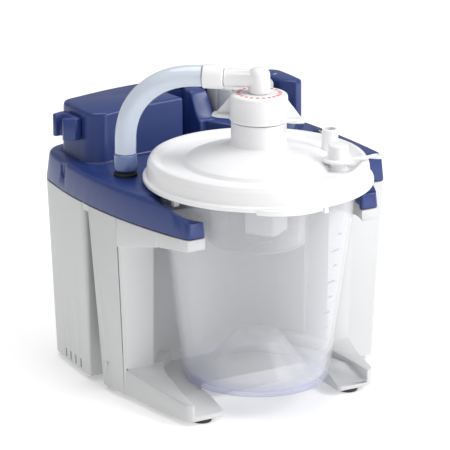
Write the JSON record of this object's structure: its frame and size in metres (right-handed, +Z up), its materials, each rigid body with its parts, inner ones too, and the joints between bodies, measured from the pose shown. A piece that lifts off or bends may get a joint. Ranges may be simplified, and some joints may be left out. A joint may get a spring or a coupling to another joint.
{
  "type": "portable suction pump",
  "caption": "Portable medical suction pump: a clear lift-out canister with lid and filter stands in a two-tone case with vacuum knob, gauge, pump and motor.",
  "frame": {"origin": "middle of the pump's footprint, on the surface it stands on", "axes": "+Z up, +X to the user's right, -Y towards the user, on the canister's side"},
  "size_m": [0.1855, 0.2172, 0.2056],
  "materials": {
    "navy_shell": "moulded, semi-gloss",
    "white_shell": "fine moulded texture",
    "lid_plastic": "satin",
    "clear_plastic": "clear, slightly blue",
    "tube_silicone": "translucent silicone",
    "grey_plastic": "satin",
    "black_plastic": "satin",
    "black_rubber": "matt",
    "steel": "plated",
    "aluminium": "die-cast",
    "circuit_green": "solder mask",
    "battery_wrap": "shrink wrap",
    "dial_white": "printed",
    "red_plastic": "satin",
    "foam": "open cell"
  },
  "bodies": {
    "unit": {"rear_case": "white_shell", "front_cradle": "white_shell", "top_cover": "navy_shell", "bottom_plate": "white_shell", "rubber_foot_1": "black_rubber", "rubber_foot_2": "black_rubber", "rubber_foot_3": "black_rubber", "rubber_foot_4": "black_rubber", "case_screw_1": "steel", "case_screw_2": "steel", "case_screw_3": "steel", "case_screw_4": "steel", "tube_clip": "navy_shell", "deck_nipple": "black_plastic", "status_lamp_1": "red_plastic", "status_lamp_2": "red_plastic", "status_lamp_3": "red_plastic", "power_inlet": "black_plastic", "gauge_case": "black_plastic", "gauge_dial": "dial_white", "gauge_lens": "clear_plastic", "gauge_movement": "steel", "rocker_frame": "black_plastic", "motor": "steel", "pump_cylinder": "aluminium", "pump_frame": "aluminium", "valve_plate": "steel", "pump_head": "aluminium", "exhaust_muffler": "foam", "battery_pack": "battery_wrap", "battery_foam": "foam", "circuit_board": "circuit_green", "vacuum_regulator": "aluminium", "vacuum_hose": "black_rubber"},
    "canister": {"container": "clear_plastic"},
    "canister_lid": {"lid": "lid_plastic", "lid_gasket": "foam", "splash_guard": "clear_plastic", "float_cage": "lid_plastic", "baffle_plate": "clear_plastic"},
    "float_valve": {"float": "lid_plastic"},
    "filter": {"filter_cap": "lid_plastic", "filter_media": "foam"},
    "tube_end": {"elbow": "lid_plastic", "elbow_cuff": "tube_silicone", "deck_cuff": "tube_silicone", "suction_tube": "tube_silicone"},
    "port_plug": {"port_cap": "lid_plastic"},
    "knob": {"regulator_knob": "grey_plastic"},
    "needle": {"gauge_needle": "red_plastic"},
    "rocker": {"power_rocker": "black_plastic"},
    "crankshaft": {"motor_shaft": "steel", "cooling_fan": "black_plastic", "crank": "steel"},
    "rod": {"piston_rod": "aluminium"}
  },
  "joints": [
    {"name": "canister_lift", "type": "slide", "parent": "unit", "child": "canister", "axis": [0, 0, 1], "range_m": [0, 0.13]},
    {"name": "lid_lift", "type": "slide", "parent": "canister", "child": "canister_lid", "axis": [0, 0, 1], "range_m": [0, 0.08]},
    {"name": "float_rise", "type": "slide", "parent": "canister_lid", "child": "float_valve", "axis": [0, 0, 1], "range_m": [0, 0.0035]},
    {"name": "filter_lift", "type": "slide", "parent": "canister_lid", "child": "filter", "axis": [0, 0, 1], "range_m": [0, 0.03]},
    {"name": "elbow_lift", "type": "slide", "parent": "filter", "child": "tube_end", "axis": [0, 0, 1], "range_m": [0, 0.03]},
    {"name": "port_cap_lift", "type": "slide", "parent": "canister_lid", "child": "port_plug", "axis": [0, 0, 1], "range_m": [0, 0.012]},
    {"name": "knob_turn", "type": "hinge", "parent": "unit", "child": "knob", "pos_m": [0.03793, 0.06159, 0.149], "axis": [0, 0, 1], "range_deg": [0, 270]},
    {"name": "needle_swing", "type": "hinge", "parent": "unit", "child": "needle", "pos_m": [0.03793, 0.06159, 0.1634], "axis": [0, 0, -1], "range_deg": [0, 270]},
    {"name": "rocker_tilt", "type": "hinge", "parent": "unit", "child": "rocker", "pos_m": [0.07593, 0.02159, 0.132], "axis": [-1, 0, 0], "range_deg": [0, 10]},
    {"name": "shaft_spin", "type": "hinge", "parent": "unit", "child": "crankshaft", "pos_m": [-0.00957, 0.06659, 0.046], "axis": [1, 0, 0], "continuous": true},
    {"name": "rod_swing", "type": "hinge", "parent": "crankshaft", "child": "rod", "pos_m": [-0.00957, 0.06659, 0.0485], "axis": [1, 0, 0], "continuous": true}
  ],
  "couplings": [
    {"joint": "rod_swing", "follows": "shaft_spin", "ratio": -1}
  ]
}
